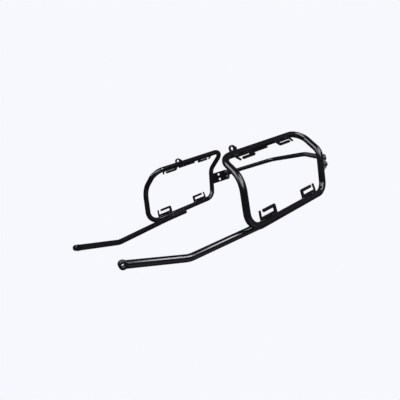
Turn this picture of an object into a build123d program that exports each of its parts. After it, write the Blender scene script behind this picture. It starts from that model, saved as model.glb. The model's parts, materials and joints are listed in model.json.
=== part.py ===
from build123d import *
from math import cos, radians, sin
import os

# Pannier frame for a motorbike: a bent tube hoop on each side, an arm that runs forward from
# each hoop, hooks that the side cases hang on, and a crossbar that joins the hoops at the back.
# X is across the bike, Y runs forward, Z is up. The origin is on the ground, under the middle
# of the outer box. Sizes are in millimetres, and the right side is drawn first, then mirrored.

# Tube stock
tube_od = 18.0
tube_wall = 2.0
crossbar_od = 16.0
crossbar_wall = 2.0
weld_gap = 0.1  # root gap between a tube and a piece that is welded to it

# Hoop, given by the corners of its centre line
rail_half_spacing = 257.5  # bottom rail from the bike's middle
rail_length = 305.0  # bottom rail between its corners
front_kink_rise = 120.5
front_kink_setback = 22.0
rear_kink_rise = 109.0
rear_kink_setback = 28.0
kink_inset = 3.5
top_rise = 174.0
top_inset = 78.0
top_front_setback = 41.0
top_rear_setback = 54.0
corner_bend_radius = 35.0
top_front_bend_radius = 40.0
front_kink_bend_radius = 66.0
rear_kink_bend_radius = 40.0

# Forward arm
arm_clock_angle = 22.0  # degrees below the level, around the bottom rail
arm_overlap = 150.0  # length that lies beside the bottom rail
arm_spread_setback = 64.0
arm_spread_bend_radius = 320.0
arm_knee_half_spacing = 207.0
arm_knee_reach = 143.0
arm_knee_bend_radius = 56.0
arm_end_half_spacing = 174.5
arm_end_reach = 277.0
arm_end_rise = 43.0

# Cross bush on the arm's front end, square to the arm
bush_od = 18.0
bush_bore = 8.5
bush_outer_lip = 1.5  # past the tube's outer side
bush_inner_lip = 1.5  # past the tube's inner side
bush_chamfer = 0.8

# Hook plates
hook_thickness = 4.0
hook_leg_width = 8.2  # the closed end of the slot
hook_post_width = 4.5  # the short post at the slot's mouth
hook_post_lean = 2.5
hook_mouth = 10.5
hook_outer_radius = 4.0
hook_slot_radius = 1.5
lower_hook_length = 60.5
lower_hook_base = 7.6  # between the tube and the slot
lower_hook_slot = 8.9
lower_hook_finger = 7.8
lower_hook_front_setback = 43.3  # behind the bottom rail's front corner
lower_hook_rear_setback = 34.3  # ahead of the bottom rail's rear corner
upper_hook_length = 61.0
upper_hook_base = 5.2
upper_hook_slot = 6.6
upper_hook_finger = 7.3
upper_hook_front_setback = 38.5
upper_hook_rear_setback = 57.0

# Top lug, a folded strip on the top rail's inner side
lug_thickness = 4.0
lug_inset = 39.0  # from the top rail's axis to the middle of the upright leg
lug_height = 22.0  # above the top rail's axis
lug_setback = 68.0  # front edge behind the top rail's front corner
lug_length = 26.5
lug_top_length = 15.5
lug_bend_radius = 4.0  # inner side of the fold
lug_corner_radius = 9.0
lug_hole = 10.5
lug_hole_rise = 12.5
lug_hole_setback = 10.5  # behind the lug's front edge

# Stop bar under the top rail
stop_bar_length = 70.0
stop_bar_width = 10.0
stop_bar_thickness = 4.5
stop_bar_setback = 100.0  # front end behind the top rail's front corner
stop_bar_end_radius = 4.0

# Rear bracket, a plate from the rear post towards the crossbar
bracket_angle = 23.0  # degrees inward from straight back
bracket_rise = 70.0  # middle of the plate above the bottom rail's axis
bracket_thickness = 4.0
bracket_front_height = 41.0
bracket_hole = 9.0
bracket_hole_pitch = 20.0  # between the upper and the lower hole of a pair
bracket_front_hole_reach = 35.0  # from the post's axis
bracket_rear_hole_reach = 67.0
bracket_lobe_radius = 10.5
bracket_notch_radius = 7.0
bracket_notch_depth = 4.5

# Crossbar
crossbar_half_span = 78.0  # corners of its centre line from the bike's middle
crossbar_setback = 199.0  # behind the bottom rail's rear corner
crossbar_rise = 82.5  # above the bottom rail's axis
crossbar_bend_radius = 60.0
crossbar_foot_reach = 102.0  # along the bracket, from the post's axis
crossbar_foot_lift = 4.5  # above the bracket's middle
end_plate_thickness = 4.0
end_plate_margin = 1.0  # round the crossbar's welded end
end_plate_fillet = 5.0

# Bolts that hold the crossbar's end plates to the brackets
bolt_diameter = 8.0
bolt_head_od = 14.0  # a low round head with a socket
bolt_head_height = 4.4
bolt_head_round = 3.8
bolt_socket_width = 5.0
bolt_socket_depth = 2.6
bolt_tip_length = 2.5  # past the nut
nut_width = 13.0
nut_height = 6.5
thread_clearance = 0.1
washer_od = 16.0
washer_bore = 8.4
washer_thickness = 1.6

# Places that follow from the sizes above
tube_radius = tube_od / 2
crossbar_radius = crossbar_od / 2
seat_radius = tube_radius + weld_gap
arm_offset = tube_od + weld_gap
arm_shift = arm_offset * cos(radians(arm_clock_angle))
arm_drop = arm_offset * sin(radians(arm_clock_angle))
rail_z = tube_radius + arm_drop
arm_run = Vector(arm_end_half_spacing - arm_knee_half_spacing, arm_end_reach - arm_knee_reach).normalized()
bush_axis = Vector(arm_run.Y, -arm_run.X)
bush_outer_reach = tube_radius + bush_outer_lip
bush_front = (bush_outer_reach - bush_chamfer) * bush_axis.Y + bush_od / 2 * bush_axis.X
front_reach = arm_end_reach + bush_front
rear_reach = rail_length + crossbar_setback + crossbar_radius
rail_front_y = (rear_reach - front_reach) / 2
rail_rear_y = rail_front_y - rail_length
kink_x = rail_half_spacing - kink_inset
top_x = rail_half_spacing - top_inset
top_z = rail_z + top_rise
top_front_y = rail_front_y - top_front_setback
top_rear_y = rail_rear_y - top_rear_setback
across = Vector(1, 0, 0)
back = Vector(0, -1, 0)
up = Vector(0, 0, 1)

rail_front = Vector(rail_half_spacing, rail_front_y, rail_z)
rail_rear = Vector(rail_half_spacing, rail_rear_y, rail_z)
front_kink = Vector(kink_x, rail_front_y - front_kink_setback, rail_z + front_kink_rise)
rear_kink = Vector(kink_x, rail_rear_y - rear_kink_setback, rail_z + rear_kink_rise)
top_front = Vector(top_x, top_front_y, top_z)
top_rear = Vector(top_x, top_rear_y, top_z)
arm_end = Vector(arm_end_half_spacing, rail_front_y + arm_end_reach, tube_radius + arm_end_rise)

# The bracket's plane holds the rear post's axis at the bracket's own height. Its X runs back
# along the plate, its Y is up and its Z points to the inside of the bike.
post_direction = (rear_kink - rail_rear).normalized()
bracket_origin = rail_rear + post_direction * (bracket_rise / post_direction.Z)
bracket_along = Vector(-sin(radians(bracket_angle)), -cos(radians(bracket_angle)), 0)
bracket_plane = Plane(bracket_origin, x_dir=bracket_along, z_dir=bracket_along.cross(up))
seat_plane = bracket_plane.offset(bracket_thickness / 2)
foot_plane = seat_plane.offset(end_plate_thickness)
bolt_places = [
    (bracket_rear_hole_reach, bracket_hole_pitch / 2),
    (bracket_rear_hole_reach, -bracket_hole_pitch / 2),
]
free_hole_places = [
    (bracket_front_hole_reach, bracket_hole_pitch / 2),
    (bracket_front_hole_reach, -bracket_hole_pitch / 2),
]
foot_centre = foot_plane.from_local_coords(Vector(crossbar_foot_reach, crossbar_foot_lift, 0))
crossbar_corner = Vector(
    crossbar_half_span, rail_rear_y - crossbar_setback, rail_z + crossbar_rise
)
leg_direction = (crossbar_corner - foot_centre).normalized()
foot_half_length = crossbar_radius / leg_direction.dot(foot_plane.z_dir)

os.makedirs("parts", exist_ok=True)


def save(part, name):
    """Label a finished piece and write it as a node of its own."""
    part.label = name
    export_step(part, f"parts/{name}.step")


def save_pair(right_part, name):
    """Write the right-hand piece and its mirror image."""
    with BuildPart() as left_part:
        mirror(right_part, about=Plane.YZ)
    save(right_part, f"right_{name}")
    save(left_part.part, f"left_{name}")


def bent_bar(corners, bend_radii, radius, bore_radius=0.0):
    """A round bar, or a tube where it has a bore, along straight runs joined by tangent arcs."""
    with BuildPart() as stock:
        with BuildLine() as path:
            FilletPolyline(*corners, radius=bend_radii)
        with BuildSketch(Plane(path.line @ 0, z_dir=path.line % 0)):
            Circle(radius)
            if bore_radius > 0:
                Circle(bore_radius, mode=Mode.SUBTRACT)
        sweep()
    return stock.part


def seat_cutter(start, end, radius=seat_radius):
    """A round bar along a straight run, used to cut the seat that a welded piece has there."""
    run = end - start
    with BuildPart() as bar:
        with BuildSketch(Plane(start, z_dir=run)):
            Circle(radius)
        extrude(amount=run.length)
    return bar.part


# Hoop tubes: two bent halves that meet in the middle of the bottom rail and the top rail
rail_middle = (rail_front + rail_rear) / 2
top_middle = (top_front + top_rear) / 2
front_corners = [rail_middle, rail_front, front_kink, top_front, top_middle]
rear_corners = [top_middle, top_rear, rear_kink, rail_rear, rail_middle]
front_radii = [corner_bend_radius, front_kink_bend_radius, top_front_bend_radius]
rear_radii = [corner_bend_radius, rear_kink_bend_radius, corner_bend_radius]
hoop_halves = [(front_corners, front_radii), (rear_corners, rear_radii)]
with BuildPart() as hoop_tube:
    for corners, radii in hoop_halves:
        add(bent_bar(corners, radii, tube_radius, tube_radius - tube_wall))
with BuildPart() as hoop_seat:
    for corners, radii in hoop_halves:
        add(bent_bar(corners, radii, seat_radius))
save_pair(hoop_tube.part, "hoop_tube")

# Forward arms: lapped inside and below the bottom rail, then bent inward and up
arm_x = rail_half_spacing - arm_shift
arm_corners = [
    Vector(arm_x, rail_front_y - arm_overlap, tube_radius),
    Vector(arm_x, rail_front_y - arm_spread_setback, tube_radius),
    Vector(arm_knee_half_spacing, rail_front_y + arm_knee_reach, tube_radius),
    arm_end,
]
arm_radii = [arm_spread_bend_radius, arm_knee_bend_radius]
bush_outer_end = arm_end + bush_axis * bush_outer_reach
bush_inner_end = arm_end - bush_axis * (tube_radius + bush_inner_lip)
with BuildPart() as arm_tube:
    add(bent_bar(arm_corners, arm_radii, tube_radius, tube_radius - tube_wall))
    add(
        seat_cutter(bush_inner_end, bush_outer_end, bush_od / 2 + weld_gap),
        mode=Mode.SUBTRACT,
    )
save_pair(arm_tube.part, "forward_arm_tube")

# Cross bushes that bolt to the bike's frame
bush_length = (bush_outer_end - bush_inner_end).length
with BuildPart() as arm_bush:
    with BuildSketch(Plane(bush_inner_end, z_dir=bush_axis)):
        Circle(bush_od / 2)
        Circle(bush_bore / 2, mode=Mode.SUBTRACT)
    extrude(amount=bush_length)
    rims = arm_bush.edges().filter_by(GeomType.CIRCLE).group_by(SortBy.RADIUS)[-1]
    chamfer(rims, bush_chamfer)
save_pair(arm_bush.part, "arm_bush")


def hook_plate(leg_corner, to_mouth, to_finger, length, base, slot, finger):
    """A plate with a slot that opens beside a short post, coped to sit on the hoop.

    leg_corner is on the tube's axis at the slot's closed end, to_mouth runs along the tube
    towards the slot's mouth, and to_finger points from the tube into the hoop.
    """
    floor = seat_radius + base
    finger_low = floor + slot
    finger_high = finger_low + finger
    finger_tip = length - hook_post_width - hook_mouth
    post_inner = length - hook_post_width
    plate_plane = Plane(leg_corner, x_dir=to_mouth, z_dir=to_mouth.cross(to_finger))
    with BuildPart() as plate:
        with BuildSketch(plate_plane):
            with BuildLine():
                Polyline(
                    (0, 0),
                    (length, 0),
                    (length, floor),
                    (length - hook_post_lean, finger_high),
                    (post_inner - hook_post_lean, finger_high),
                    (post_inner, floor),
                    (hook_leg_width, floor),
                    (hook_leg_width, finger_low),
                    (finger_tip, finger_low),
                    (finger_tip, finger_high),
                    (0, finger_high),
                    close=True,
                )
            make_face()
        extrude(amount=hook_thickness / 2, both=True)
        upright_edges = plate.edges().filter_by(Axis(leg_corner, plate_plane.z_dir))
        local_corner = plate_plane.to_local_coords

        def edges_at(*places):
            """Edges across the plate's thickness at the given corners of its outline."""
            return [
                edge
                for edge in upright_edges
                for place in places
                if (local_corner(edge.center()) - Vector(*place)).length < hook_thickness / 4
            ]

        fillet(edges_at((0, finger_high)), hook_outer_radius)
        fillet(
            edges_at(
                (hook_leg_width, floor),
                (hook_leg_width, finger_low),
                (post_inner, floor),
                (finger_tip, finger_low),
                (finger_tip, finger_high),
            ),
            hook_slot_radius,
        )
        add(hoop_seat.part, mode=Mode.SUBTRACT)
    return plate.part


# Lower hooks stand on the bottom rails, in the plane of the hoop's lower half
lower_in = Vector(kink_x - rail_half_spacing, 0, (front_kink_rise + rear_kink_rise) / 2).normalized()
lower_sizes = [lower_hook_length, lower_hook_base, lower_hook_slot, lower_hook_finger]
lower_front_leg = rail_front + back * (lower_hook_front_setback + lower_hook_length)
lower_rear_leg = rail_rear - back * (lower_hook_rear_setback + lower_hook_length)
save_pair(hook_plate(lower_front_leg, -back, lower_in, *lower_sizes), "lower_front_hook")
save_pair(hook_plate(lower_rear_leg, back, lower_in, *lower_sizes), "lower_rear_hook")

# Upper hooks hang from the top rails, in the plane of the hoop's upper half
mean_kink_z = (front_kink.Z + rear_kink.Z) / 2
upper_in = Vector(kink_x - top_x, 0, mean_kink_z - top_z).normalized()
upper_sizes = [upper_hook_length, upper_hook_base, upper_hook_slot, upper_hook_finger]
upper_front_leg = top_front + back * (upper_hook_front_setback + upper_hook_length)
upper_rear_leg = top_rear - back * (upper_hook_rear_setback + upper_hook_length)
save_pair(hook_plate(upper_front_leg, -back, upper_in, *upper_sizes), "upper_front_hook")
save_pair(hook_plate(upper_rear_leg, back, upper_in, *upper_sizes), "upper_rear_hook")

# Top lugs: a level leg welded to the top rail and an upright eye that bolts to the bike
lug_front_y = top_front_y - lug_setback
lug_x = top_x - lug_inset
half_sheet = lug_thickness / 2
with BuildPart() as top_lug:
    with BuildSketch(Plane((0, lug_front_y, 0), x_dir=across, z_dir=back)):
        with BuildLine():
            Polyline(
                (top_x, top_z - half_sheet),
                (top_x, top_z + half_sheet),
                (lug_x + half_sheet, top_z + half_sheet),
                (lug_x + half_sheet, top_z + lug_height),
                (lug_x - half_sheet, top_z + lug_height),
                (lug_x - half_sheet, top_z - half_sheet),
                close=True,
            )
        make_face()
    extrude(amount=lug_length)
    inner_corner = (lug_x + half_sheet, lug_front_y - lug_length / 2, top_z + half_sheet)
    inner_fold = top_lug.edges().filter_by(Axis.Y).sort_by_distance(inner_corner)[0]
    fillet(inner_fold, lug_bend_radius)
    outer_fold = top_lug.edges().filter_by(Axis.Y).group_by(Axis.Z)[0].sort_by(Axis.X)[0]
    fillet(outer_fold, lug_bend_radius + lug_thickness)
    with BuildSketch(Plane((lug_x, lug_front_y, top_z), x_dir=back, z_dir=back.cross(up))):
        with BuildLine():
            Polyline(
                (lug_top_length, lug_height),
                (lug_length, lug_hole_rise),
                (lug_length, lug_height),
                close=True,
            )
        make_face()
    extrude(amount=lug_thickness, both=True, mode=Mode.SUBTRACT)
    eye_top = top_lug.edges().filter_by(Axis.X).group_by(Axis.Z)[-1]
    fillet(eye_top, lug_corner_radius)
    with Locations(Plane((lug_x, lug_front_y - lug_hole_setback, top_z + lug_hole_rise), z_dir=across)):
        Hole(lug_hole / 2, depth=lug_thickness)
    add(seat_cutter(top_front, top_rear), mode=Mode.SUBTRACT)
save_pair(top_lug.part, "top_lug")

# Stop bars welded along the underside of the top rails
stop_bar_top = top_z - seat_radius
stop_bar_middle_y = top_front_y - stop_bar_setback - stop_bar_length / 2
with BuildPart() as stop_bar:
    with BuildSketch(Plane((top_x, stop_bar_middle_y, stop_bar_top))):
        RectangleRounded(stop_bar_width, stop_bar_length, stop_bar_end_radius)
    extrude(amount=-stop_bar_thickness)
save_pair(stop_bar.part, "top_stop_bar")

# Rear brackets: coped to the rear post, two free holes in front and two bolted lobes behind
post_below = rail_rear - post_direction * tube_od
post_above = rear_kink + post_direction * tube_od
with BuildPart() as rear_bracket:
    with BuildSketch(bracket_plane):
        with BuildSketch(mode=Mode.PRIVATE) as lobes:
            with Locations(*bolt_places):
                Circle(bracket_lobe_radius)
        with BuildLine(mode=Mode.PRIVATE) as front_edge:
            Line((0, -bracket_front_height / 2), (0, bracket_front_height / 2))
        make_hull(lobes.edges() + front_edge.edges())
        notch_reach = bracket_rear_hole_reach + bracket_lobe_radius - bracket_notch_depth
        with Locations((notch_reach + bracket_notch_radius, 0)):
            Circle(bracket_notch_radius, mode=Mode.SUBTRACT)
        with Locations(*bolt_places, *free_hole_places):
            Circle(bracket_hole / 2, mode=Mode.SUBTRACT)
    extrude(amount=bracket_thickness / 2, both=True)
    add(seat_cutter(post_below, post_above), mode=Mode.SUBTRACT)
save_pair(rear_bracket.part, "rear_bracket")

# Crossbar end plates: an upright pad bolted to the bracket and a tail under the crossbar's foot
tail_radius = crossbar_radius + end_plate_margin
tail_end_reach = crossbar_foot_reach + foot_half_length - crossbar_radius
with BuildPart() as end_plate:
    with BuildSketch(seat_plane):
        with BuildSketch(mode=Mode.PRIVATE) as pad_ends:
            with Locations(*bolt_places):
                Circle(bracket_lobe_radius)
        make_hull(pad_ends.edges())
        with BuildSketch(mode=Mode.PRIVATE) as tail_ends:
            with Locations(
                (bracket_rear_hole_reach, crossbar_foot_lift),
                (tail_end_reach, crossbar_foot_lift),
            ):
                Circle(tail_radius)
        make_hull(tail_ends.edges())
        with Locations(*bolt_places):
            Circle(bracket_hole / 2, mode=Mode.SUBTRACT)
    extrude(amount=end_plate_thickness)
    pad_edge_reach = bracket_rear_hole_reach + bracket_lobe_radius
    inner_corners = [
        seat_plane.from_local_coords(
            Vector(pad_edge_reach, crossbar_foot_lift + side * tail_radius, end_plate_thickness / 2)
        )
        for side in (1, -1)
    ]
    fillet(
        [end_plate.edges().sort_by_distance(corner)[0] for corner in inner_corners],
        end_plate_fillet,
    )
save_pair(end_plate.part, "crossbar_end_plate")

# Crossbar: one tube bent twice, each end cut to lie flat on its end plate
leg_start = foot_centre - leg_direction * crossbar_od * 2
crossbar_corners = [
    leg_start,
    crossbar_corner,
    Vector(-crossbar_corner.X, crossbar_corner.Y, crossbar_corner.Z),
    Vector(-leg_start.X, leg_start.Y, leg_start.Z),
]
crossbar_radii = [crossbar_bend_radius, crossbar_bend_radius]
with BuildPart() as crossbar_tube:
    add(bent_bar(crossbar_corners, crossbar_radii, crossbar_radius, crossbar_radius - crossbar_wall))
    split(bisect_by=foot_plane, keep=Keep.TOP)
    left_foot_plane = Plane(
        Vector(-foot_plane.origin.X, foot_plane.origin.Y, foot_plane.origin.Z),
        x_dir=(-bracket_along.X, bracket_along.Y, 0),
        z_dir=(-foot_plane.z_dir.X, foot_plane.z_dir.Y, 0),
    )
    split(bisect_by=left_foot_plane, keep=Keep.TOP)
save(crossbar_tube.part, "crossbar_tube")

# Fasteners: round heads outside, washers and nuts inside
outer_face = -bracket_thickness / 2
inner_face = bracket_thickness / 2 + end_plate_thickness
nut_seat = inner_face + washer_thickness
shank_end = nut_seat + nut_height + bolt_tip_length


def save_fasteners(right_group, name):
    """Write the fasteners of both sides as one group of separate solids."""
    with BuildPart() as group:
        add(right_group)
        mirror(right_group, about=Plane.YZ)
    save(group.part, name)


with BuildPart() as bolts:
    with BuildSketch(bracket_plane.offset(outer_face)):
        with Locations(*bolt_places):
            Circle(bolt_head_od / 2)
    extrude(amount=-bolt_head_height)
    head_rims = bolts.edges().group_by(Axis(bracket_origin, bracket_plane.z_dir))[0]
    fillet(head_rims, bolt_head_round)
    with BuildSketch(bracket_plane.offset(outer_face - bolt_head_height)):
        with Locations(*bolt_places):
            RegularPolygon(bolt_socket_width / 2, 6, major_radius=False)
    extrude(amount=bolt_socket_depth, mode=Mode.SUBTRACT)
    with BuildSketch(bracket_plane.offset(outer_face)):
        with Locations(*bolt_places):
            Circle(bolt_diameter / 2)
    extrude(amount=shank_end - outer_face)
save_fasteners(bolts.part, "crossbar_bolts")

with BuildPart() as washers:
    with BuildSketch(bracket_plane.offset(inner_face)):
        with Locations(*bolt_places):
            Circle(washer_od / 2)
            Circle(washer_bore / 2, mode=Mode.SUBTRACT)
    extrude(amount=washer_thickness)
save_fasteners(washers.part, "crossbar_washers")

with BuildPart() as nuts:
    with BuildSketch(bracket_plane.offset(nut_seat)):
        with Locations(*bolt_places):
            RegularPolygon(nut_width / 2, 6, major_radius=False)
            Circle(bolt_diameter / 2 + thread_clearance, mode=Mode.SUBTRACT)
    extrude(amount=nut_height)
save_fasteners(nuts.part, "crossbar_nuts")
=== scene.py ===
import json
from math import cos, pi, radians, sin, sqrt, tan
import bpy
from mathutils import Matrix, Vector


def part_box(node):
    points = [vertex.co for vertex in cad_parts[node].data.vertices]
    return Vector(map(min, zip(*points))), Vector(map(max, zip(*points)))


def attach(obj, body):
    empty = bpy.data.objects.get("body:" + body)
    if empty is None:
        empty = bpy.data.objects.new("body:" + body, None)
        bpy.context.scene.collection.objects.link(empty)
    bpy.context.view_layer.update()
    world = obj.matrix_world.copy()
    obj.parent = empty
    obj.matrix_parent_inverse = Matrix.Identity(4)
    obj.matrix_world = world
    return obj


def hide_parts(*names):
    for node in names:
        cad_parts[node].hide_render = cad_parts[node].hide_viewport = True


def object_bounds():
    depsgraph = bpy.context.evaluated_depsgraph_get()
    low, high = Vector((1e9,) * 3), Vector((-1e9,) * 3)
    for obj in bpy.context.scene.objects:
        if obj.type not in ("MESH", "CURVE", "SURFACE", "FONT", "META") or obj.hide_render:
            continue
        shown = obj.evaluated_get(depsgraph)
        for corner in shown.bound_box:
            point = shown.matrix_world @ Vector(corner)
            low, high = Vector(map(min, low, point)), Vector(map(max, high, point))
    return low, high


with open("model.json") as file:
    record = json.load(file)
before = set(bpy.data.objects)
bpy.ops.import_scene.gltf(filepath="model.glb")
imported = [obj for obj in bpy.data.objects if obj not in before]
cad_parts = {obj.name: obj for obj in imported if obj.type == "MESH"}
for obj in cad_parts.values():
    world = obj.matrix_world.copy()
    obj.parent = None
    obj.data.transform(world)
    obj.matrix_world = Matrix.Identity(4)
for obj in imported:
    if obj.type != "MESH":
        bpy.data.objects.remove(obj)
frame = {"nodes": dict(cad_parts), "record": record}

from types import SimpleNamespace

import bpy
import numpy as np
from bpy.props import FloatProperty, FloatVectorProperty, PointerProperty
from mathutils import Euler, Quaternion, Vector

bl_info = {
    "name": "Pannier frame finish",
    "version": (1, 0, 0),
    "blender": (4, 5, 0),
    "location": "3D View > Sidebar > Pannier frame",
    "description": "Powder coat, weld beads, fasteners and a studio for the packed pannier frame",
    "category": "Object",
}

# Lengths are in metres, and MM lets a size be written in millimetres as it is in the part's source
MM = 0.001
CAD_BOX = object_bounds()
HOOKS = ("lower_front_hook", "lower_rear_hook", "upper_front_hook", "upper_rear_hook")

# Directions, the factors that carry a point of the right side to the left, and a hexagon's part of a turn
UP = np.array([0.0, 0.0, 1.0])
FORWARD = np.array([0.0, 1.0, 0.0])
ACROSS = np.array([1.0, 0.0, 0.0])
MIRROR = np.array([-1.0, 1.0, 1.0])
BOTH_WAYS = (1.0, -1.0)
SIXTH_TURN = pi / 3

# How finely the new surfaces are cut
BEAD_POINTS = 14  # around a bead
RIPPLE_POINTS = 5  # along one ripple
SEAM_POINTS = 8  # along a straight seam, at the least
STEP_SLACK = 1e-6  # keeps a whole number of steps whole when it is worked out a hair short
RING_POINTS = 220  # along a bead that closes on itself
HEXAGON_POINTS = 96  # around a bolt's head or a nut
SHANK_POINTS = 48  # around a bolt's shank
PITCH_POINTS = 10  # along one turn of a thread
HEAD_ROUND_POINTS = 12  # over the rounding of a bolt's head
WASHER_POINTS = 64  # around a washer
WASHER_ROUND_POINTS = 4  # over the rounding of a washer's rim
NUT_CONE_POINTS = 6  # down the cone that cuts a nut's corners
FLOOR_POINTS = 96  # around the floor's rim

# Width and height of each kind of bead against a fillet's
BEAD_SCALES = {
    "fillet": (1.0, 1.0),
    "lap": (1.45, 1.2),
    "bush": (0.65, 0.85),
    "stop_bar": (0.5, 0.85),
    "foot": (0.8, 0.85),
}

# Part of a noise texture's range over which a tone or a gloss goes from one end to the other
TONE_BAND = (0.35, 0.65)
GLOSS_BAND = (0.3, 0.7)


def length(name, millimetres, description):
    """A length property whose default is given in millimetres."""
    return FloatProperty(
        name=name, description=description, default=millimetres * MM, min=0.0, unit="LENGTH", precision=5
    )


def angle(name, degrees, description):
    """An angle property whose default is given in degrees."""
    return FloatProperty(name=name, description=description, default=radians(degrees), unit="ROTATION")


def share(name, value, description):
    """A plain number from 0 to 1."""
    return FloatProperty(
        name=name, description=description, default=value, min=0.0, max=1.0, subtype="FACTOR"
    )


def rate(name, per_metre, description):
    """A count of features in a metre."""
    return FloatProperty(name=name, description=description, default=per_metre, min=0.0)


def colour(name, value, description):
    """A linear colour."""
    return FloatVectorProperty(
        name=name, description=description, default=value, size=3, min=0.0, max=1.0, subtype="COLOR"
    )


class FrameSizes(bpy.types.PropertyGroup):
    """Sizes of the CAD part that the seams and the bolts are found from."""

    tube_radius: length("Tube radius", 9.0, "Outer radius of the hoop and arm tubes")
    root_gap: length("Root gap", 0.1, "Gap between a tube and what is welded to it")
    rail_length: length("Rail length", 305.0, "Bottom rail between its corners")
    arm_end_reach: length("Arm reach", 277.0, "Arm's bush ahead of the bottom rail's front corner")
    arm_knee_half_spacing: length("Arm knee spacing", 207.0, "Arm's knee from the bike's middle")
    arm_knee_reach: length("Arm knee reach", 143.0, "Arm's knee ahead of the bottom rail's front corner")
    arm_lap_end: length("Arm lap end", 90.0, "Where the arm leaves the rail, behind its front corner")
    hook_thickness: length("Hook thickness", 4.0, "Thickness of the hook plates")
    lower_hook_lean: angle("Lower hook lean", 1.75, "Lower hook plates inward from upright")
    upper_hook_drop: angle("Upper hook drop", 38.5, "Upper hook plates below the level")
    lug_thickness: length("Lug thickness", 4.0, "Sheet of the folded top lugs")
    kink_inset: length("Kink inset", 3.5, "Rear post's upper end inward of the bottom rail")
    kink_rise: length("Kink rise", 109.0, "Rear post's upper end above the bottom rail")
    kink_setback: length("Kink setback", 28.0, "Rear post's upper end behind the rail's rear corner")
    bracket_angle: angle("Bracket angle", 23.0, "Rear bracket inward from straight back")
    bracket_rise: length("Bracket rise", 70.0, "Middle of the rear bracket above the bottom rail")
    bracket_thickness: length("Bracket thickness", 4.0, "Plate of the rear bracket")
    bracket_height: length("Bracket height", 41.0, "Height of the rear bracket's front edge")
    bolt_reach: length("Bolt reach", 67.0, "Bolts behind the rear post's axis, along the bracket")
    bolt_pitch: length("Bolt pitch", 20.0, "Between the upper and the lower bolt")
    end_plate_thickness: length("End plate", 4.0, "Plate at the crossbar's foot")
    crossbar_radius: length("Crossbar radius", 8.0, "Outer radius of the crossbar")
    crossbar_half_span: length("Crossbar half span", 78.0, "Crossbar's corners from the bike's middle")
    foot_reach: length("Foot reach", 102.0, "Crossbar's foot behind the rear post's axis")
    foot_lift: length("Foot lift", 4.5, "Crossbar's foot above the bracket's middle")


class WeldSizes(bpy.types.PropertyGroup):
    """Sizes of the weld beads."""

    half_width: length("Half width", 1.9, "Half of a fillet bead's width")
    half_height: length("Half height", 1.1, "Half of a fillet bead's height")
    lean: share("Lean", 0.7, "Lean of a fillet away from its tube, for one part off its plate")
    ripple_pitch: length("Ripple pitch", 1.5, "Distance between two ripples")
    ripple_depth: share("Ripple depth", 0.16, "Depth of a ripple as a share of the bead")
    ripple_lead: share("Ripple lead", 0.45, "How far a ripple's crown runs ahead of its toes")
    end_round: length("End round", 2.4, "Length over which a bead closes")
    end_size: share("End size", 0.08, "Size of a bead at its very end as a share of the bead")
    lap_stitch: length("Lap stitch", 24.0, "Length of a stitch in the grooves between an arm and its rail")
    lap_rise: length("Lap rise", 5.4, "Such a stitch from the line that joins the two tubes' axes")
    hook_stitch: length("Hook stitch", 17.0, "Length of a stitch at each end of a hook plate")
    stop_share: share("Stop share", 0.75, "Length of a stitch beside a stop bar against a lap stitch")
    stop_inset: length("Stop inset", 3.0, "Such a stitch from the bar's end")
    stop_offset: length("Stop offset", 4.0, "Such a stitch from the middle of the top rail")
    stop_lift: length("Stop lift", 0.5, "Such a stitch above the bar's upper side")


class CoatFinish(bpy.types.PropertyGroup):
    """The powder coat of the tubes and plates."""

    dark: colour("Dark", (0.0028, 0.0026, 0.0039), "Darker tone of the coat")
    light: colour("Light", (0.0046, 0.0043, 0.0062), "Lighter tone of the coat")
    tone_patches: rate("Tone patches", 14.0, "Changes of tone in a metre")
    smooth: share("Smooth", 0.14, "Roughness where the coat flowed out best")
    dull: share("Dull", 0.20, "Roughness where the coat is thin")
    gloss_patches: rate("Gloss patches", 60.0, "Changes of gloss in a metre")
    peel_depth: length("Peel depth", 0.02, "Depth of the coat's fine waves")
    peel_waves: rate("Peel waves", 420.0, "Fine waves in a metre")
    grain_depth: length("Grain depth", 0.005, "Depth of the coat's grain")
    grains: rate("Grains", 1900.0, "Grains in a metre")
    ior: FloatProperty(name="IOR", description="Index of refraction of the coat", default=1.7, min=1.0)


class ZincFinish(bpy.types.PropertyGroup):
    """The black zinc of the bolts, washers and nuts."""

    dark: colour("Dark", (0.09, 0.092, 0.1), "Darker tone of the zinc")
    light: colour("Light", (0.22, 0.22, 0.23), "Lighter tone of the zinc")
    clouds: rate("Clouds", 220.0, "Changes of tone in a metre")
    smooth: share("Smooth", 0.26, "Roughness where the zinc is brightest")
    dull: share("Dull", 0.42, "Roughness where the zinc is dullest")
    gloss_patches: rate("Gloss patches", 500.0, "Changes of gloss in a metre")
    mark_depth: length("Mark depth", 0.008, "Depth of the fine marks")
    marks: rate("Marks", 2600.0, "Fine marks in a metre")


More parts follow.
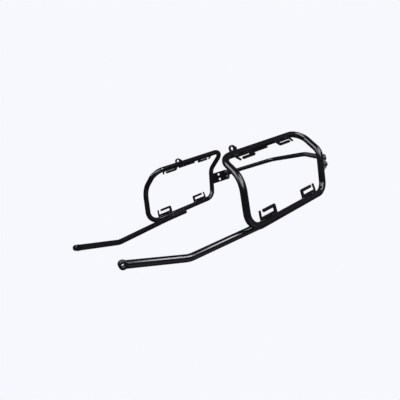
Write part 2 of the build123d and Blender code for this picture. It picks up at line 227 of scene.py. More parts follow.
class FastenerSizes(bpy.types.PropertyGroup):
    """Sizes of the bolts, washers and nuts."""

    bolt_radius: length("Bolt radius", 4.0, "Outer radius of the bolt's thread")
    thread_pitch: length("Thread pitch", 1.25, "Rise of one turn of the thread")
    thread_depth: length("Thread depth", 0.6, "Crest to root of the thread")
    tip_length: length("Tip length", 2.5, "Bolt past its nut")
    tip_taper: length("Tip taper", 1.0, "Length over which the tip closes to the thread's root")
    head_radius: length("Head radius", 7.0, "Radius of the bolt's round head")
    head_height: length("Head height", 4.4, "Height of the bolt's head")
    head_round: length("Head round", 3.8, "Rounding of the bolt's head")
    head_edge: length("Head edge", 0.15, "Bevel under the rim of the bolt's head")
    socket_flat: length("Socket flat", 2.5, "Axis to flat of the socket")
    socket_depth: length("Socket depth", 2.6, "Depth of the socket")
    socket_bevel: length("Socket bevel", 0.25, "Bevel at the socket's mouth")
    socket_cone: length("Socket cone", 0.35, "Depth of the cone in the socket's floor")
    socket_cone_radius: length("Socket cone radius", 1.25, "Radius of the cone's small end")
    nut_flat: length("Nut flat", 6.5, "Axis to flat of the nut")
    nut_height: length("Nut height", 6.5, "Height of the nut")
    nut_bore: length("Nut bore", 4.1, "Radius of the nut's bore")
    nut_sink: length("Nut sink", 0.5, "Countersink at both ends of the nut's bore")
    nut_crown: share("Nut crown", 0.95, "Radius of the nut's round end face as a share of its flat")
    nut_cone: angle("Nut cone", 30.0, "Slope of the cone that cuts the nut's corners")
    washer_radius: length("Washer radius", 8.0, "Outer radius of the washers")
    washer_bore: length("Washer bore", 4.2, "Inner radius of the washers")
    washer_thickness: length("Washer thickness", 1.6, "Thickness of the washers")
    washer_round: length("Washer round", 0.3, "Rounding of the washers' rims")
    bolt_turn: angle("Bolt turn", 17.0, "Turn of each bolt from the one before it")
    nut_turn: angle("Nut turn", 11.0, "Turn of a nut from its bolt")
    sharp_edge: angle("Sharp edge", 25.0, "Edges that turn by more than this are drawn sharp")


class StudioSetup(bpy.types.PropertyGroup):
    """Camera, floor and light."""

    camera_place: FloatVectorProperty(
        name="Camera", description="Camera's place", default=(-0.79567, 0.58276, 0.24125),
        size=3, subtype="TRANSLATION", unit="LENGTH",
    )
    camera_turn: FloatVectorProperty(
        name="Camera turn", description="Camera's turn about X, Y and Z",
        default=(radians(79.855), radians(16.236), radians(-126.892)),
        size=3, subtype="EULER", unit="ROTATION",
    )
    lens: FloatProperty(name="Lens", description="Focal length in millimetres", default=28.8, unit="CAMERA")
    sensor: FloatProperty(name="Sensor", description="Width in millimetres", default=36.0, unit="CAMERA")
    sight: length("Sight", 200000.0, "Farthest that the camera sees")
    backdrop: colour("Backdrop", (0.930, 0.939, 0.982), "Tone of the floor and the background")
    ambient: FloatProperty(name="Ambient", description="Soft light from all round", default=0.06, min=0.0)
    lamp_tint: colour("Lamp tint", (0.945, 0.930, 1.000), "Tone of the softboxes and of the soft light")
    floor_radius: length("Floor radius", 30000.0, "Reach of the floor")
    floor_drop: length("Floor drop", 0.4, "Floor below the arms, so that the two don't share a plane")
    light_distance: length("Light distance", 5000.0, "Softboxes from the middle of the part")


# Softboxes: azimuth from straight ahead towards the right, elevation and roll in degrees, width and
# height in metres, and radiance
SOFTBOXES = {
    "softbox_left": (-115.0, 42.2, 56.5, 3.0, 0.9, 9.6),
    "softbox_front": (-60.0, 41.0, -22.0, 4.8, 3.0, 4.3),
    "softbox_right": (27.0, 46.5, 0.0, 2.5, 3.6, 4.3),
    "left_card": (-145.0, 8.0, 0.0, 5.8, 3.6, 0.08),
    "right_card": (116.0, 16.0, 0.0, 5.2, 1.4, 0.3),
    "rear_card": (168.0, -10.0, 0.0, 2.2, 1.4, 0.3),
    "floor_bounce": (-85.0, -42.0, 0.0, 6.0, 4.0, 0.2),
}


def unit(vector):
    """Vectors along the last axis, made one long."""
    vector = np.asarray(vector, float)
    return vector / np.linalg.norm(vector, axis=-1, keepdims=True)


def inner_face():
    """The crossbar end plate's inner face from the bracket's middle plane, along a bolt."""
    sizes = bpy.context.scene.pannier_sizes
    return sizes.bracket_thickness / 2 + sizes.end_plate_thickness


def right_side():
    """Axes and planes of the right-hand side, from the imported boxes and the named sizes.

    The arm's axis is one lap from the rail's axis, so it stands sqrt(lap ** 2 - drop ** 2) inside it. The
    bracket's middle is where the leaning rear post has climbed by the bracket's rise.
    """
    sizes = bpy.context.scene.pannier_sizes
    radius = sizes.tube_radius
    hoop_low, hoop_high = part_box("right_hoop_tube")
    bush_low, bush_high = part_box("right_arm_bush")
    arm_low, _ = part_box("right_forward_arm_tube")
    bar_low, bar_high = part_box("crossbar_tube")
    side = SimpleNamespace()
    side.rail_x = hoop_high.x - radius
    side.rail_z = hoop_low.z + radius
    side.top_x = hoop_low.x + radius
    side.top_z = hoop_high.z - radius
    side.bush = np.array((bush_low + bush_high) / 2)
    side.bush_radius = (bush_high.z - bush_low.z) / 2
    side.rail_front_y = side.bush[1] - sizes.arm_end_reach
    side.arm_z = arm_low.z + radius
    lap = 2 * radius + sizes.root_gap
    side.arm_x = side.rail_x - sqrt(lap ** 2 - (side.rail_z - side.arm_z) ** 2)
    side.arm_rear_y = arm_low.y
    knee = np.array([sizes.arm_knee_half_spacing, side.rail_front_y + sizes.arm_knee_reach, side.arm_z])
    side.arm_direction = unit(side.bush - knee)
    rail_rear = np.array([side.rail_x, side.rail_front_y - sizes.rail_length, side.rail_z])
    side.post = unit([-sizes.kink_inset, -sizes.kink_setback, sizes.kink_rise])
    side.bracket = rail_rear + side.post * (sizes.bracket_rise / side.post[2])
    turn = sizes.bracket_angle
    side.along = np.array([-sin(turn), -cos(turn), 0.0])
    side.inside = np.cross(side.along, UP)
    side.foot = (
        side.bracket + side.along * sizes.foot_reach + UP * sizes.foot_lift + side.inside * inner_face()
    )
    bar_radius = sizes.crossbar_radius
    corner = np.array([sizes.crossbar_half_span, bar_low.y + bar_radius, bar_high.z - bar_radius])
    side.leg = unit(corner - side.foot)
    return side


def ring_faces(rings, around, closed):
    """Quads between neighbouring rings of a grid that wraps round, and wraps along it too where closed."""
    ring = np.arange(rings if closed else rings - 1)[:, None]
    step = np.arange(around)[None, :]
    here = ring * around
    after = (ring + 1) % rings * around
    turn = (step + 1) % around
    return np.stack([here + step, here + turn, after + turn, after + step], axis=-1).reshape(-1, 4)


def closed_tube(grid):
    """A grid of rings with a pole in the middle of its first and its last ring."""
    rings, around, _ = grid.shape
    poles = np.stack([grid[0].mean(axis=0), grid[-1].mean(axis=0)])
    points = np.concatenate([grid.reshape(-1, 3), poles])
    first, last = rings * around, rings * around + 1
    step = np.arange(around)
    turn = (step + 1) % around
    end = (rings - 1) * around
    start_fan = np.stack([np.full(around, first), turn, step], axis=-1)
    end_fan = np.stack([np.full(around, last), end + step, end + turn], axis=-1)
    return points, ring_faces(rings, around, False), np.concatenate([start_fan, end_fan])


def closed_loop(grid):
    """A grid of rings whose last ring is followed by its first."""
    rings, around, _ = grid.shape
    return grid.reshape(-1, 3), ring_faces(rings, around, True), np.zeros((0, 3), int)


def mirrored(shell):
    """The other side's copy of a shell, with its faces turned round so that they still point outwards."""
    points, quads, triangles = shell
    return points * MIRROR, quads[:, ::-1], triangles[:, ::-1]


def make_piece(name, shells, material, sharp_angle=None):
    """One mesh object from shells of points, quads and triangles, at the origin and riding on the frame."""
    counts = np.cumsum([0] + [len(points) for points, _, _ in shells])
    points = np.concatenate([points for points, _, _ in shells])
    quads = np.concatenate([quads + start for (_, quads, _), start in zip(shells, counts)])
    triangles = np.concatenate([fan + start for (_, _, fan), start in zip(shells, counts)])
    mesh = bpy.data.meshes.new(name)
    mesh.vertices.add(len(points))
    mesh.vertices.foreach_set("co", points.astype(np.float32).ravel())
    corners = np.concatenate([quads.ravel(), triangles.ravel()])
    mesh.loops.add(len(corners))
    mesh.loops.foreach_set("vertex_index", corners.astype(np.int32))
    sides = np.concatenate([np.full(len(quads), 4), np.full(len(triangles), 3)])
    mesh.polygons.add(len(sides))
    mesh.polygons.foreach_set("loop_start", np.concatenate([[0], np.cumsum(sides)[:-1]]).astype(np.int32))
    mesh.polygons.foreach_set("use_smooth", np.ones(len(sides), bool))
    mesh.update(calc_edges=True)
    if mesh.validate():
        raise RuntimeError(f"{name} has broken faces")
    if sharp_angle is not None:
        mesh.set_sharp_from_angle(angle=sharp_angle)
    mesh.materials.append(material)
    piece = bpy.data.objects.new(name, mesh)
    bpy.context.scene.collection.objects.link(piece)
    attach(piece, "root")
    return piece


def make_weld_pair(name, beads):
    """The welds of a right-hand piece, and their mirror image on the left."""
    make_piece(f"right_{name}_weld", beads, powder_coat())
    make_piece(f"left_{name}_weld", [mirrored(bead) for bead in beads], powder_coat())


def weld_bead(path, out, kind, closed=False):
    """A weld bead: an ellipse carried along a seam.

    The ellipse stands across the path, its height along out and its width across both. At distance s
    and angle t its size is 1 - depth * (1 - |sin(pi * (s / pitch + lead * sin(t) ** 2))|) ** 2, which
    gives ripples whose crowns run ahead of their toes. An open bead closes by a quarter circle at each end.
    """
    welds = bpy.context.scene.pannier_welds
    width_scale, height_scale = BEAD_SCALES[kind]
    half_width = welds.half_width * width_scale
    half_height = welds.half_height * height_scale
    out = np.broadcast_to(unit(out), path.shape)
    if closed:
        tangent = unit(np.roll(path, -1, axis=0) - np.roll(path, 1, axis=0))
        steps = np.linalg.norm(np.roll(path, -1, axis=0) - path, axis=1)
        total = steps.sum()
        distance = np.cumsum(steps) - steps
        swell = np.ones(len(path))
        pitch = total / round(total / welds.ripple_pitch)
    else:
        tangent = unit(np.gradient(path, axis=0))
        steps = np.linalg.norm(np.diff(path, axis=0), axis=1)
        distance = np.concatenate([[0.0], np.cumsum(steps)])
        total = distance[-1]
        near_end = np.clip(np.minimum(distance, total - distance) / welds.end_round, 0.0, 1.0)
        swell = welds.end_size + (1.0 - welds.end_size) * np.sqrt(1.0 - (1.0 - near_end) ** 2)
        pitch = welds.ripple_pitch
    across = unit(np.cross(out, tangent))
    turn = np.linspace(0.0, 2 * pi, BEAD_POINTS, endpoint=False)[None, :]
    phase = distance[:, None] / pitch + welds.ripple_lead * np.sin(turn) ** 2
    groove = (1.0 - np.abs(np.sin(pi * phase))) ** 2
    size = swell[:, None] * (1.0 - welds.ripple_depth * groove)
    grid = (
        path[:, None, :]
        + across[:, None, :] * (half_width * size * np.cos(turn))[..., None]
        + out[:, None, :] * (half_height * size * np.sin(turn))[..., None]
    )
    return closed_loop(grid) if closed else closed_tube(grid)


def straight_seam(start, end):
    """Points on a straight seam, a few to each ripple: start plus even shares of the way to the end."""
    spacing = bpy.context.scene.pannier_welds.ripple_pitch / RIPPLE_POINTS
    steps = np.linalg.norm(end - start) / spacing
    count = max(int(steps + STEP_SLACK), SEAM_POINTS)
    return start + np.linspace(0.0, 1.0, count)[:, None] * (end - start)


def straight_bead(start, end, out, kind):
    """A bead of the given kind on a straight seam."""
    return weld_bead(straight_seam(start, end), out, kind)


def seat_reach(half_plate):
    """From a tube's axis to where a plate's face meets its seat: sqrt(seat ** 2 - half_plate ** 2)."""
    sizes = bpy.context.scene.pannier_sizes
    return sqrt((sizes.tube_radius + sizes.root_gap) ** 2 - half_plate ** 2)


def hook_beads(side, hook):
    """Stitches at both ends of both faces of a right-hand hook plate, where it stands on its rail.

    A seam is the rail's axis plus the seat's reach along the plate, plus half a plate along its face.
    """
    sizes = bpy.context.scene.pannier_sizes
    welds = bpy.context.scene.pannier_welds
    low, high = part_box(f"right_{hook}")
    if hook.startswith("lower"):
        axis = np.array([side.rail_x, 0.0, side.rail_z])
        lean = sizes.lower_hook_lean
        inward = np.array([-sin(lean), 0.0, cos(lean)])
    else:
        axis = np.array([side.top_x, 0.0, side.top_z])
        drop = sizes.upper_hook_drop
        inward = np.array([cos(drop), 0.0, -sin(drop)])
    face = np.cross(FORWARD, inward)
    half_plate = sizes.hook_thickness / 2
    stitch = welds.hook_stitch
    beads = []
    for way in BOTH_WAYS:
        corner = axis + inward * seat_reach(half_plate) + face * (way * half_plate)
        for start_y in (low.y, high.y - stitch):
            start = corner + FORWARD * start_y
            out = face * way + inward * welds.lean
            beads.append(straight_bead(start, start + FORWARD * stitch, out, "fillet"))
    return beads


def arm_beads(side):
    """Stitches in the two grooves between an arm and the bottom rail that it lies beside.

    A seam is the middle between the two axes, plus or minus the lap's rise square to the line between them.
    """
    sizes = bpy.context.scene.pannier_sizes
    welds = bpy.context.scene.pannier_welds
    rail = np.array([side.rail_x, 0.0, side.rail_z])
    arm = np.array([side.arm_x, 0.0, side.arm_z])
    middle = (rail + arm) / 2
    groove = unit(np.cross(FORWARD, rail - arm))
    stitch = welds.lap_stitch
    lap_front_y = side.rail_front_y - sizes.arm_lap_end
    rear_y = side.arm_rear_y + welds.end_round / 2
    beads = []
    for way in BOTH_WAYS:
        for start_y in (rear_y, lap_front_y - stitch):
            start = middle + groove * (way * welds.lap_rise) + FORWARD * start_y
            beads.append(straight_bead(start, start + FORWARD * stitch, groove * way, "lap"))
    return beads


def bush_bead(side):
    """The ring where an arm's end meets the cross bush that stands square to it.

    At angle t around the arm, the arm's wall is radius * sin(t) above the bush's axis, so it meets the
    bush sqrt(seat ** 2 - (radius * sin(t)) ** 2) behind that axis.
    """
    sizes = bpy.context.scene.pannier_sizes
    flat = unit(np.cross(UP, side.arm_direction))
    rise = np.cross(side.arm_direction, flat)
    turn = np.linspace(0.0, 2 * pi, RING_POINTS, endpoint=False)[:, None]
    wall = flat * np.cos(turn) + rise * np.sin(turn)
    height = sizes.tube_radius * np.sin(turn)
    reach = np.sqrt((side.bush_radius + sizes.root_gap) ** 2 - height ** 2)
    path = side.bush + wall * sizes.tube_radius - side.arm_direction * reach
    bush_wall = unit(rise * height - side.arm_direction * reach)
    return weld_bead(path, wall + bush_wall, "bush", closed=True)


def lug_beads(side):
    """Fillet beads above and below a top lug's level leg, on the top rail's inner side.

    A seam is the top rail's axis less the seat's reach across, plus or minus half the sheet in height.
    """
    half_sheet = bpy.context.scene.pannier_sizes.lug_thickness / 2
    lean = bpy.context.scene.pannier_welds.lean
    low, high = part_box("right_top_lug")
    beads = []
    for way in BOTH_WAYS:
        corner = np.array([side.top_x - seat_reach(half_sheet), 0.0, side.top_z + way * half_sheet])
        out = UP * way - ACROSS * lean
        beads.append(straight_bead(corner + FORWARD * low.y, corner + FORWARD * high.y, out, "fillet"))
    return beads


def stop_bar_beads(side):
    """Stitches at both ends and on both sides of a stop bar, in the groove below the top rail.

    A seam is the top rail's middle plus or minus the offset across, at the bar's upper side plus the lift.
    """
    welds = bpy.context.scene.pannier_welds
    low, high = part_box("right_top_stop_bar")
    stitch = welds.lap_stitch * welds.stop_share
    beads = []
    for way in BOTH_WAYS:
        groove = np.array([side.top_x + way * welds.stop_offset, 0.0, high.z + welds.stop_lift])
        for start_y in (low.y + welds.stop_inset, high.y - welds.stop_inset - stitch):
            start = groove + FORWARD * start_y
            beads.append(straight_bead(start, start + FORWARD * stitch, ACROSS * way, "stop_bar"))
    return beads


def bracket_beads(side):
    """Fillet beads where both faces of a rear bracket meet the leaning rear post.

    At each height on a face, the reach u along the bracket is where the point's distance from the post's
    axis is one seat radius: the larger root of square * u ** 2 + 2 * half_sum * u + rest = 0, with all
    distances taken square to the post.
    """
    sizes = bpy.context.scene.pannier_sizes
    welds = bpy.context.scene.pannier_welds
    seat = sizes.tube_radius + sizes.root_gap
    half_height = sizes.bracket_height / 2
    rows = straight_seam(-UP * half_height, UP * half_height)
    flat_along = side.along - side.post * (side.along @ side.post)
    square = flat_along @ flat_along
    beads = []
    for way in BOTH_WAYS:
        face = side.inside * way
        base = rows + face * (sizes.bracket_thickness / 2)
        flat_base = base - np.outer(base @ side.post, side.post)
        half_sum = flat_base @ flat_along
        rest = (flat_base ** 2).sum(axis=1) - seat ** 2
        reach = (-half_sum + np.sqrt(half_sum ** 2 - square * rest)) / square
        path = side.bracket + base + side.along * reach[:, None]
        beads.append(weld_bead(path, face + side.along * welds.lean, "fillet"))
    return beads


def foot_bead(side):
    """The ring where the crossbar's slanted end meets its end plate: a round section cut by the plate.

    Each point of a circle square to the crossbar slides along it by -(point . normal) / (leg . normal),
    which brings it onto the plate.
    """
    sizes = bpy.context.scene.pannier_sizes
    flat = unit(np.cross(UP, side.leg))
    rise = np.cross(side.leg, flat)
    turn = np.linspace(0.0, 2 * pi, RING_POINTS, endpoint=False)[:, None]
    wall = (flat * np.cos(turn) + rise * np.sin(turn)) * sizes.crossbar_radius
    slide = -(wall @ side.inside) / (side.leg @ side.inside)
    path = side.foot + wall + side.leg * slide[:, None]
    return weld_bead(path, unit(wall) + side.inside, "foot", closed=True)


def turned(profile, around, flats=None, turn_start=0.0):
    """Rings of a profile turned about its axis.

    Radius r and height w at angle t give (r cos t, r sin t, w). A row with a flat has its radius held
    inside a hexagon: at most flat / cos(t), with t folded into a sixth of a turn.
    """
    profile = np.asarray(profile, float)
    turn = np.linspace(0.0, 2 * pi, around, endpoint=False)[None, :]
    radius = np.repeat(profile[:, :1], around, axis=1)
    if flats is not None:
        folded = np.mod(turn + SIXTH_TURN / 2, SIXTH_TURN) - SIXTH_TURN / 2
        radius = np.minimum(radius, np.asarray(flats, float)[:, None] / np.cos(folded))
    height = np.repeat(profile[:, 1:], around, axis=1)
    spun = turn + turn_start
    return np.stack([radius * np.cos(spun), radius * np.sin(spun), height], axis=-1)


def placed(grid, axes):
    """A local grid moved to a fastener's place: origin plus each coordinate along its own axis."""
    origin, first, second, along = axes
    return origin + grid[..., :1] * first + grid[..., 1:2] * second + grid[..., 2:] * along


def bolt_axes():
    """Place and axes of the four bolts, the last axis pointing from the head to the nut.

    On the left the first two axes change places, so that the three stay right-handed.
    """
    sizes = bpy.context.scene.pannier_sizes
    side = right_side()
    axes = []
    for way in BOTH_WAYS:
        place = side.bracket + side.along * sizes.bolt_reach + UP * (way * sizes.bolt_pitch / 2)
        axes.append((place, side.along, UP, side.inside))
        axes.append((place * MIRROR, UP, side.along * MIRROR, side.inside * MIRROR))
    return axes


def bolt_head(axes, turn_start):
    """A bolt's low round head with a hexagon socket.

    The profile runs from under the rim over a quarter circle to a small flat, then down the socket to a
    shallow cone. The rows of the socket are held inside its hexagon.
    """
    parts = bpy.context.scene.pannier_fasteners
    seat = -bpy.context.scene.pannier_sizes.bracket_thickness / 2
    crown = seat - parts.head_height
    floor = crown + parts.socket_depth
    wide = parts.head_radius
    turn = np.linspace(0.0, pi / 2, HEAD_ROUND_POINTS)
    round_radius = wide - parts.head_round + parts.head_round * np.cos(turn)
    round_height = crown + parts.head_round - parts.head_round * np.sin(turn)
    rim_rows = [[parts.bolt_radius, seat], [wide - parts.head_edge, seat], [wide, seat - parts.head_edge]]
    socket_rows = [
        [wide, crown],
        [wide, crown + parts.socket_bevel],
        [wide, floor],
        [parts.socket_cone_radius, floor + parts.socket_cone],
    ]
    profile = np.concatenate([rim_rows, np.stack([round_radius, round_height], axis=1), socket_rows])
    # The socket's mouth is wider by its bevel, its walls are straight, and all that is round has no flat
    flats = np.full(len(profile), np.inf)
    flats[-4:-1] = parts.socket_flat + parts.socket_bevel, parts.socket_flat, parts.socket_flat
    return closed_tube(placed(turned(profile[::-1], HEXAGON_POINTS, flats[::-1], turn_start), axes))


def bolt_shank(axes):
    """A bolt's round shank, with a thread on its tip.

    At height w and angle t the radius is the bolt's radius less the thread's depth times a triangle wave
    of w / pitch - t / (2 pi). Over the taper the tip closes to the thread's root.
    """
    parts = bpy.context.scene.pannier_fasteners
    seat = -bpy.context.scene.pannier_sizes.bracket_thickness / 2
    pitch = parts.thread_pitch
    nut_top = inner_face() + parts.washer_thickness + parts.nut_height
    tip = nut_top + parts.tip_length
    rows = np.concatenate([[seat], np.arange(nut_top - pitch, tip, pitch / PITCH_POINTS), [tip]])[:, None]
    turn = np.linspace(0.0, 2 * pi, SHANK_POINTS, endpoint=False)[None, :]
    wave = np.abs(2.0 * np.mod(rows / pitch - turn / (2 * pi), 1.0) - 1.0)
    lead_in = np.clip((tip - rows) / parts.tip_taper, 0.0, 1.0)
    radius = parts.bolt_radius - parts.thread_depth * np.maximum(wave, 1.0 - lead_in)
    # The shank is plain from the head to where the thread starts
    radius[:2] = parts.bolt_radius
    height = np.repeat(rows, SHANK_POINTS, axis=1)
    grid = np.stack([radius * np.cos(turn), radius * np.sin(turn), height], axis=-1)
    return closed_tube(placed(grid, axes))


def washer_shell(axes):
    """A washer: a section with quarter circles at its outer rims, turned about the bolt's axis."""
    parts = bpy.context.scene.pannier_fasteners
    bore, rim, corner = parts.washer_bore, parts.washer_radius, parts.washer_round
    level = inner_face()
    top = level + parts.washer_thickness
    turn = np.linspace(0.0, pi / 2, WASHER_ROUND_POINTS)
    sine, cosine = corner * np.sin(turn), corner * np.cos(turn)
    low_corner = np.stack([rim - corner + sine, level + corner - cosine], axis=1)
    high_corner = np.stack([rim - corner + cosine, top - corner + sine], axis=1)
    profile = np.concatenate([[[bore, top], [bore, level]], low_corner, high_corner])
    return closed_loop(placed(turned(profile, WASHER_POINTS), axes))


def nut_shell(axes, turn_start):
    """A nut: a hexagon ring whose outer corners are cut by a cone at both ends, with a countersunk bore.

    On a cone the radius grows evenly from the end face to the corners, and the height falls by the slope's
    tangent times that growth.
    """
    parts = bpy.context.scene.pannier_fasteners
    level = inner_face() + parts.washer_thickness
    top = level + parts.nut_height
    crown_radius = parts.nut_flat * parts.nut_crown
    corner_radius = parts.nut_flat / cos(SIXTH_TURN / 2)
    cone_radius = np.linspace(crown_radius, corner_radius, NUT_CONE_POINTS)
    drop = (cone_radius - crown_radius) * tan(parts.nut_cone)
    low_cone = np.stack([cone_radius, level + drop], axis=1)
    high_cone = np.stack([cone_radius, top - drop], axis=1)[::-1]
    bore, sink = parts.nut_bore, parts.nut_sink
    bore_rows = [[bore + sink, top], [bore, top - sink], [bore, level + sink], [bore + sink, level]]
    profile = np.concatenate([low_cone, high_cone, bore_rows])
    flats = np.full(len(profile), parts.nut_flat)
    return closed_loop(placed(turned(profile, HEXAGON_POINTS, flats, turn_start), axes))


def new_material(name):
    """A material with an empty node tree, its shader and Object coordinates."""
    material = bpy.data.materials.new(name)
    material.use_nodes = True
    nodes = material.node_tree.nodes
    nodes.clear()
    output = nodes.new("ShaderNodeOutputMaterial")
    shader = nodes.new("ShaderNodeBsdfPrincipled")
    place = nodes.new("ShaderNodeTexCoord")
    material.node_tree.links.new(shader.outputs["BSDF"], output.inputs["Surface"])
    return material, shader, place.outputs["Object"]


def noise(material, place, per_metre, detail):
    """A noise texture in the part's own coordinates, with so many features in a metre."""
    texture = material.node_tree.nodes.new("ShaderNodeTexNoise")
    texture.inputs["Scale"].default_value = per_metre
    texture.inputs["Detail"].default_value = detail
    material.node_tree.links.new(place, texture.inputs["Vector"])
    return texture.outputs["Fac"]


def ramp(material, value, band, start, end):
    """A value that goes from start to end while the noise goes through its band."""
    node = material.node_tree.nodes.new("ShaderNodeMapRange")
    low, high = band
    for socket, number in (("From Min", low), ("From Max", high), ("To Min", start), ("To Max", end)):
        node.inputs[socket].default_value = number
    material.node_tree.links.new(value, node.inputs["Value"])
    return node.outputs["Result"]


def tone(material, value, dark, light):
    """A colour that runs from dark to light with a value from 0 to 1."""
    node = material.node_tree.nodes.new("ShaderNodeMix")
    node.data_type = "RGBA"
    node.inputs["A"].default_value = (*dark, 1.0)
    node.inputs["B"].default_value = (*light, 1.0)
    material.node_tree.links.new(value, node.inputs["Factor"])
    return next(socket for socket in node.outputs if socket.type == "RGBA")


def bump(material, height, depth, normal=None):
    """A bump of the given depth, laid over another one where that is given."""
    node = material.node_tree.nodes.new("ShaderNodeBump")
    node.inputs["Strength"].default_value = 1.0
    node.inputs["Distance"].default_value = depth
    material.node_tree.links.new(height, node.inputs["Height"])
    if normal is not None:
        material.node_tree.links.new(normal, node.inputs["Normal"])
    return node.outputs["Normal"]


def powder_coat():
    """Semi-gloss black powder coat: slow changes of tone and gloss, and fine waves as it flowed out."""
    found = bpy.data.materials.get("powder_coat")
    if found is not None:
        return found
    coat = bpy.context.scene.pannier_coat
    material, shader, place = new_material("powder_coat")
    links = material.node_tree.links
    drift = ramp(material, noise(material, place, coat.tone_patches, detail=3.0), TONE_BAND, 0.0, 1.0)
    links.new(tone(material, drift, coat.dark, coat.light), shader.inputs["Base Color"])
    patches = noise(material, place, coat.gloss_patches, detail=4.0)
    links.new(ramp(material, patches, GLOSS_BAND, coat.smooth, coat.dull), shader.inputs["Roughness"])
    waves = bump(material, noise(material, place, coat.peel_waves, detail=2.0), coat.peel_depth)
    grain = bump(material, noise(material, place, coat.grains, detail=1.0), coat.grain_depth, waves)
    links.new(grain, shader.inputs["Normal"])
    shader.inputs["Metallic"].default_value = 0.0
    shader.inputs["IOR"].default_value = coat.ior
    return material


def black_zinc():
    """Black zinc on the bolts, washers and nuts: a dark metal with cloudy tone and fine marks."""
    found = bpy.data.materials.get("black_zinc")
    if found is not None:
        return found
    zinc = bpy.context.scene.pannier_zinc
    material, shader, place = new_material("black_zinc")
    links = material.node_tree.links
    clouds = ramp(material, noise(material, place, zinc.clouds, detail=4.0), TONE_BAND, 0.0, 1.0)
    links.new(tone(material, clouds, zinc.dark, zinc.light), shader.inputs["Base Color"])
    patches = noise(material, place, zinc.gloss_patches, detail=3.0)
    links.new(ramp(material, patches, GLOSS_BAND, zinc.smooth, zinc.dull), shader.inputs["Roughness"])
    marks = bump(material, noise(material, place, zinc.marks, detail=2.0), zinc.mark_depth)
    links.new(marks, shader.inputs["Normal"])
    shader.inputs["Metallic"].default_value = 1.0
    return material


def add_background(setup):
    """Pale where the camera looks past the floor, dim where the coat reflects it."""
    world = bpy.data.worlds.new("studio")
    world.use_nodes = True
    nodes, links = world.node_tree.nodes, world.node_tree.links
    nodes.clear()
    output = nodes.new("ShaderNodeOutputWorld")
    mix = nodes.new("ShaderNodeMixShader")
    path = nodes.new("ShaderNodeLightPath")
    dim = nodes.new("ShaderNodeBackground")
    pale = nodes.new("ShaderNodeBackground")
    dim.inputs["Color"].default_value = (*setup.lamp_tint, 1.0)
    dim.inputs["Strength"].default_value = setup.ambient
    pale.inputs["Color"].default_value = (*setup.backdrop, 1.0)
    links.new(path.outputs["Is Camera Ray"], mix.inputs["Fac"])
    links.new(dim.outputs["Background"], mix.inputs[1])
    links.new(pale.outputs["Background"], mix.inputs[2])
    links.new(mix.outputs["Shader"], output.inputs["Surface"])
    bpy.context.scene.world = world


def add_floor(setup):
    """A plain pale disc, lit evenly from within so that it meets the background with no line.

    At angle t its rim is (cos t, sin t) times its radius.
    """
    turn = np.linspace(0.0, 2 * pi, FLOOR_POINTS, endpoint=False)
    rim = np.stack([np.cos(turn), np.sin(turn), np.zeros(FLOOR_POINTS)], axis=1) * setup.floor_radius
    rim[:, 2] = -setup.floor_drop
    mesh = bpy.data.meshes.new("floor")
    mesh.from_pydata(rim.tolist(), [], [list(range(FLOOR_POINTS))])
    material = bpy.data.materials.new("pale_floor")
    material.use_nodes = True
    nodes, links = material.node_tree.nodes, material.node_tree.links
    nodes.clear()
    output = nodes.new("ShaderNodeOutputMaterial")
    glow = nodes.new("ShaderNodeEmission")
    glow.inputs["Color"].default_value = (*setup.backdrop, 1.0)
    links.new(glow.outputs["Emission"], output.inputs["Surface"])
    mesh.materials.append(material)
    floor = bpy.data.objects.new("floor", mesh)
    floor.visible_glossy = False
    floor.visible_diffuse = False
    floor.visible_shadow = False
    bpy.context.scene.collection.objects.link(floor)


def add_softbox(name, setup, azimuth, elevation, roll, width, height, radiance):
    """A softbox that faces the middle of the part, with a power of radiance times pi times its area."""
    turn, lift = radians(azimuth), radians(elevation)
    direction = Vector((sin(turn) * cos(lift), cos(turn) * cos(lift), sin(lift)))
    middle = (CAD_BOX[0] + CAD_BOX[1]) / 2
    light = bpy.data.lights.new(name, "AREA")
    light.shape = "RECTANGLE"
    light.color = setup.lamp_tint
    light.size = width
    light.size_y = height
    light.energy = radiance * pi * width * height
    lamp = bpy.data.objects.new(name, light)
    lamp.location = middle + direction * setup.light_distance
    facing = (-direction).to_track_quat("-Z", "Y")
    lamp.rotation_euler = (facing @ Quaternion((0.0, 0.0, 1.0), radians(roll))).to_euler()
    lamp.visible_camera = False
    bpy.context.scene.collection.objects.link(lamp)


def add_camera(setup):
    """The camera at the photograph's viewing angle."""
    camera = bpy.data.cameras.new("camera")
    camera.sensor_width = setup.sensor
    camera.lens = setup.lens
    camera.clip_end = setup.sight
    stand = bpy.data.objects.new("camera", camera)
    stand.location = setup.camera_place
    stand.rotation_euler = Euler(setup.camera_turn)
    bpy.context.scene.collection.objects.link(stand)
    bpy.context.scene.camera = stand


class PANNIER_OT_coat(bpy.types.Operator):
    """Give every CAD node its finish"""

    bl_idname = "pannier.coat"
    bl_label = "Coat the frame"

    def execute(self, context):
        slots = {row["node"]: row["material_slot"] for row in frame["record"]["subparts"]}
        finishes = {"frame_coat": powder_coat(), "fasteners": black_zinc()}
        for name, node in frame["nodes"].items():
            node.data.materials.clear()
            node.data.materials.append(finishes[slots[name]])
        return {"FINISHED"}


class PANNIER_OT_hook_welds(bpy.types.Operator):
    """Weld the hook plates to the rails"""

    bl_idname = "pannier.hook_welds"
    bl_label = "Hook welds"

    def execute(self, context):
        side = right_side()
        for hook in HOOKS:
            make_weld_pair(hook, hook_beads(side, hook))
        return {"FINISHED"}


class PANNIER_OT_arm_welds(bpy.types.Operator):
    """Weld the arms to the bottom rails and the bushes to the arms"""

    bl_idname = "pannier.arm_welds"
    bl_label = "Arm welds"

    def execute(self, context):
        side = right_side()
        make_weld_pair("arm", arm_beads(side))
        make_weld_pair("bush", [bush_bead(side)])
        return {"FINISHED"}


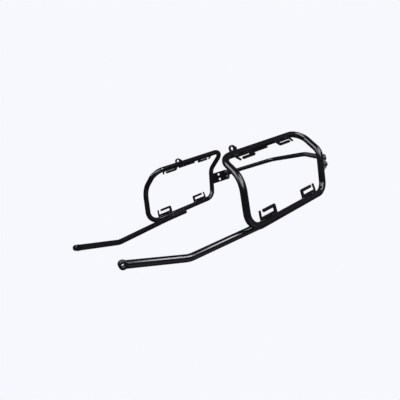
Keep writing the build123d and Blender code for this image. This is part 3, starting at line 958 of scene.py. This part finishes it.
class PANNIER_OT_top_welds(bpy.types.Operator):
    """Weld the lugs and the stop bars to the top rails"""

    bl_idname = "pannier.top_welds"
    bl_label = "Top rail welds"

    def execute(self, context):
        side = right_side()
        make_weld_pair("lug", lug_beads(side))
        make_weld_pair("stop_bar", stop_bar_beads(side))
        return {"FINISHED"}


class PANNIER_OT_rear_welds(bpy.types.Operator):
    """Weld the brackets to the rear posts and the end plates to the crossbar"""

    bl_idname = "pannier.rear_welds"
    bl_label = "Rear welds"

    def execute(self, context):
        side = right_side()
        make_weld_pair("bracket", bracket_beads(side))
        make_weld_pair("foot", [foot_bead(side)])
        return {"FINISHED"}


class PANNIER_OT_fasteners(bpy.types.Operator):
    """Make the bolts, washers and nuts of the crossbar"""

    bl_idname = "pannier.fasteners"
    bl_label = "Fasteners"

    def execute(self, context):
        parts = context.scene.pannier_fasteners
        bolts, washers, nuts = [], [], []
        for count, axes in enumerate(bolt_axes()):
            turn = parts.bolt_turn * count
            bolts += [bolt_head(axes, turn), bolt_shank(axes)]
            washers.append(washer_shell(axes))
            nuts.append(nut_shell(axes, turn + parts.nut_turn))
        for name, shells in (("bolts", bolts), ("washers", washers), ("nuts", nuts)):
            piece = make_piece(f"detailed_{name}", shells, black_zinc(), parts.sharp_edge)
            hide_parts(f"crossbar_{name}")
        return {"FINISHED"}


class PANNIER_OT_studio(bpy.types.Operator):
    """Set the floor, the background, the softboxes and the camera"""

    bl_idname = "pannier.studio"
    bl_label = "Studio"

    def execute(self, context):
        setup = context.scene.pannier_studio
        context.scene.view_settings.view_transform = "Standard"
        add_background(setup)
        add_floor(setup)
        for name, box in SOFTBOXES.items():
            add_softbox(name, setup, *box)
        add_camera(setup)
        return {"FINISHED"}


class PANNIER_PT_finish(bpy.types.Panel):
    """Sidebar panel with the steps in order"""

    bl_idname = "PANNIER_PT_finish"
    bl_label = "Pannier frame"
    bl_space_type = "VIEW_3D"
    bl_region_type = "UI"
    bl_category = "Pannier frame"

    def draw(self, context):
        for operator in OPERATORS:
            self.layout.operator(operator.bl_idname)


GROUPS = {
    "pannier_sizes": FrameSizes,
    "pannier_welds": WeldSizes,
    "pannier_coat": CoatFinish,
    "pannier_zinc": ZincFinish,
    "pannier_fasteners": FastenerSizes,
    "pannier_studio": StudioSetup,
}
OPERATORS = (
    PANNIER_OT_coat,
    PANNIER_OT_hook_welds,
    PANNIER_OT_arm_welds,
    PANNIER_OT_top_welds,
    PANNIER_OT_rear_welds,
    PANNIER_OT_fasteners,
    PANNIER_OT_studio,
)


def register():
    """Register the classes and hang the settings on the scene."""
    for name, group in GROUPS.items():
        bpy.utils.register_class(group)
        setattr(bpy.types.Scene, name, PointerProperty(type=group))
    for operator in OPERATORS:
        bpy.utils.register_class(operator)
    bpy.utils.register_class(PANNIER_PT_finish)


def unregister():
    """Take the settings and the classes away again."""
    bpy.utils.unregister_class(PANNIER_PT_finish)
    for operator in reversed(OPERATORS):
        bpy.utils.unregister_class(operator)
    for name, group in reversed(GROUPS.items()):
        delattr(bpy.types.Scene, name)
        bpy.utils.unregister_class(group)


def main():
    """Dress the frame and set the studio."""
    register()
    bpy.ops.pannier.coat()
    bpy.ops.pannier.hook_welds()
    bpy.ops.pannier.arm_welds()
    bpy.ops.pannier.top_welds()
    bpy.ops.pannier.rear_welds()
    bpy.ops.pannier.fasteners()
    bpy.ops.pannier.studio()


if __name__ == "__main__":
    main()
